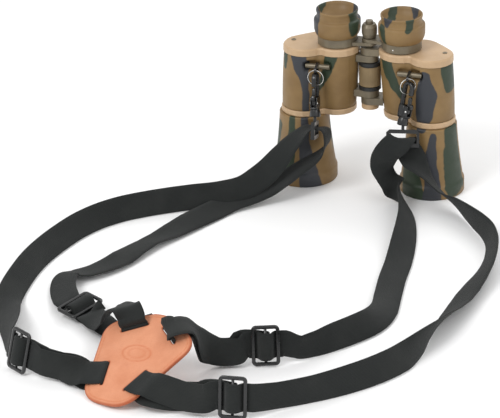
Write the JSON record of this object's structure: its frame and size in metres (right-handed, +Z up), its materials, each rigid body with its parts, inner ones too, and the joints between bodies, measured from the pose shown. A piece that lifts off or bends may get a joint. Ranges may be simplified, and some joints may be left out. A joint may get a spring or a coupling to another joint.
{
  "type": "binocular harness pack",
  "caption": "Prism binoculars with clip hooks on a two-strap body harness with a leather back yoke.",
  "frame": {"origin": "middle of the underside of the binoculars, slides and yoke together, the webbing left out, on the surface they stand on", "axes": "+Z up along the optical axes towards the eyepieces; +X from the left telescope to the right one; the harness lies towards -Y"},
  "size_m": [0.4339, 0.5416, 0.178],
  "materials": {
    "camouflage_armour": "matte",
    "tan_cover": "satin",
    "grey_brown_metal": "satin",
    "dark_trim": "matte",
    "bright_wire": "polished",
    "lens_glass": "coated",
    "prism_glass": "clear",
    "webbing": "woven",
    "black_plastic": "gloss",
    "leather": "natural",
    "grip_rubber": "ribbed"
  },
  "bodies": {
    "left_half_and_harness": {"prism_housing_left": "camouflage_armour", "housing_base_band_left": "tan_cover", "top_cover_left": "tan_cover", "prism_upper_left": "prism_glass", "prism_lower_left": "prism_glass", "prism_shelf_left": "dark_trim", "objective_barrel_left": "camouflage_armour", "objective_lens_left": "lens_glass", "objective_retaining_ring_left": "dark_trim", "strap_lug_bar_left": "grey_brown_metal", "hinge_lug_left": "grey_brown_metal", "hinge_foot_left": "grey_brown_metal", "lug_cord_loop_left": "black_plastic", "hook_webbing_loop_left": "black_plastic", "hinge_pin": "grey_brown_metal", "hinge_cap": "tan_cover", "leather_yoke": "leather", "strap_left": "webbing", "strap_right": "webbing"},
    "right_half": {"prism_housing_right": "camouflage_armour", "housing_base_band_right": "tan_cover", "top_cover_right": "tan_cover", "prism_upper_right": "prism_glass", "prism_lower_right": "prism_glass", "prism_shelf_right": "dark_trim", "objective_barrel_right": "camouflage_armour", "objective_lens_right": "lens_glass", "objective_retaining_ring_right": "dark_trim", "strap_lug_bar_right": "grey_brown_metal", "hinge_lug_right": "grey_brown_metal", "hinge_foot_right": "grey_brown_metal", "lug_cord_loop_right": "black_plastic", "hook_webbing_loop_right": "black_plastic"},
    "focus": {"focus_wheel": "dark_trim", "focus_wheel_grip": "grip_rubber"},
    "ocular_left": {"eyepiece_tube_left": "grey_brown_metal", "eyecup_left": "camouflage_armour", "eye_lens_left": "lens_glass", "field_lens_left": "lens_glass", "bridge_arm_left": "grey_brown_metal", "bridge_spindle": "grey_brown_metal"},
    "ocular_right": {"eyepiece_tube_right": "grey_brown_metal", "eyecup_right": "camouflage_armour", "eye_lens_right": "lens_glass", "field_lens_right": "lens_glass", "bridge_arm_right": "grey_brown_metal"},
    "dioptre": {"dioptre_ring": "grey_brown_metal"},
    "ring_left": {"split_ring_left": "bright_wire"},
    "ring_right": {"split_ring_right": "bright_wire"},
    "hook_left": {"hook_body_left": "black_plastic"},
    "hook_right": {"hook_body_right": "black_plastic"},
    "gate_left": {"hook_gate_left": "black_plastic"},
    "gate_right": {"hook_gate_right": "black_plastic"},
    "adjuster_upper_left": {"slide_upper_left": "black_plastic"},
    "adjuster_lower_left": {"slide_lower_left": "black_plastic"},
    "adjuster_upper_right": {"slide_upper_right": "black_plastic"},
    "adjuster_lower_right": {"slide_lower_right": "black_plastic"}
  },
  "joints": [
    {"name": "ipd_hinge", "type": "hinge", "parent": "left_half_and_harness", "child": "right_half", "pos_m": [0.05489, 0.24293, 0.1], "axis": [0, 0, 1], "range_deg": [-6, 34], "deforming": ["strap_right"]},
    {"name": "focus_turn", "type": "hinge", "parent": "left_half_and_harness", "child": "focus", "pos_m": [0.05489, 0.24293, 0.111], "axis": [0, 0, 1], "range_deg": [0, 472]},
    {"name": "eyepiece_travel_left", "type": "slide", "parent": "left_half_and_harness", "child": "ocular_left", "axis": [0, 0, 1], "range_m": [0, 0.007]},
    {"name": "eyepiece_travel_right", "type": "slide", "parent": "right_half", "child": "ocular_right", "axis": [0, 0, 1], "range_m": [0, 0.007]},
    {"name": "dioptre_turn", "type": "hinge", "parent": "ocular_right", "child": "dioptre", "pos_m": [0.08739, 0.24293, 0.147], "axis": [0, 0, 1], "range_deg": [-45, 45]},
    {"name": "ring_swing_left", "type": "hinge", "parent": "left_half_and_harness", "child": "ring_left", "pos_m": [0.00839, 0.21943, 0.1245], "axis": [1, 0, 0], "range_deg": [-4, 2.5]},
    {"name": "hook_swivel_left", "type": "hinge", "parent": "left_half_and_harness", "child": "hook_left", "pos_m": [0.00975, 0.20291, 0.08267], "axis": [-0.0523, 0.292, 0.955], "range_deg": [-12, 12]},
    {"name": "gate_left", "type": "hinge", "parent": "hook_left", "child": "gate_left", "pos_m": [0.00925, 0.20148, 0.09303], "axis": [-0.9986, -0.0153, -0.05], "range_deg": [0, 16], "stiffness_Nm_per_rad": 0.01},
    {"name": "ring_swing_right", "type": "hinge", "parent": "right_half", "child": "ring_right", "pos_m": [0.10139, 0.21943, 0.1245], "axis": [1, 0, 0], "range_deg": [-3, 0]},
    {"name": "hook_swivel_right", "type": "hinge", "parent": "right_half", "child": "hook_right", "pos_m": [0.09866, 0.20294, 0.08278], "axis": [0.1045, 0.2908, 0.9511], "range_deg": [-12, 3]},
    {"name": "gate_right", "type": "hinge", "parent": "hook_right", "child": "gate_right", "pos_m": [0.10344, 0.20349, 0.09208], "axis": [-0.4973, -0.8129, 0.3032], "range_deg": [0, 16], "stiffness_Nm_per_rad": 0.01},
    {"name": "adjust_upper_left", "type": "slide", "parent": "left_half_and_harness", "child": "adjuster_upper_left", "axis": [0.8892, -0.4547, -0.0505], "range_m": [-0.008, 0.008], "deforming": ["strap_left"]},
    {"name": "adjust_lower_left", "type": "slide", "parent": "left_half_and_harness", "child": "adjuster_lower_left", "axis": [0.853, -0.5219, 0], "range_m": [-0.008, 0.008], "deforming": ["strap_left"]},
    {"name": "adjust_upper_right", "type": "slide", "parent": "left_half_and_harness", "child": "adjuster_upper_right", "axis": [-0.9435, -0.3312, 0], "range_m": [-0.008, 0.008], "deforming": ["strap_right"]},
    {"name": "adjust_lower_right", "type": "slide", "parent": "left_half_and_harness", "child": "adjuster_lower_right", "axis": [-0.9949, -0.1005, 0], "range_m": [-0.008, 0.008], "deforming": ["strap_right"]}
  ],
  "couplings": [
    {"joint": "focus_turn", "follows": "eyepiece_travel_left", "rad_per_m": 1176.5},
    {"joint": "eyepiece_travel_right", "follows": "eyepiece_travel_left", "ratio": 1}
  ]
}
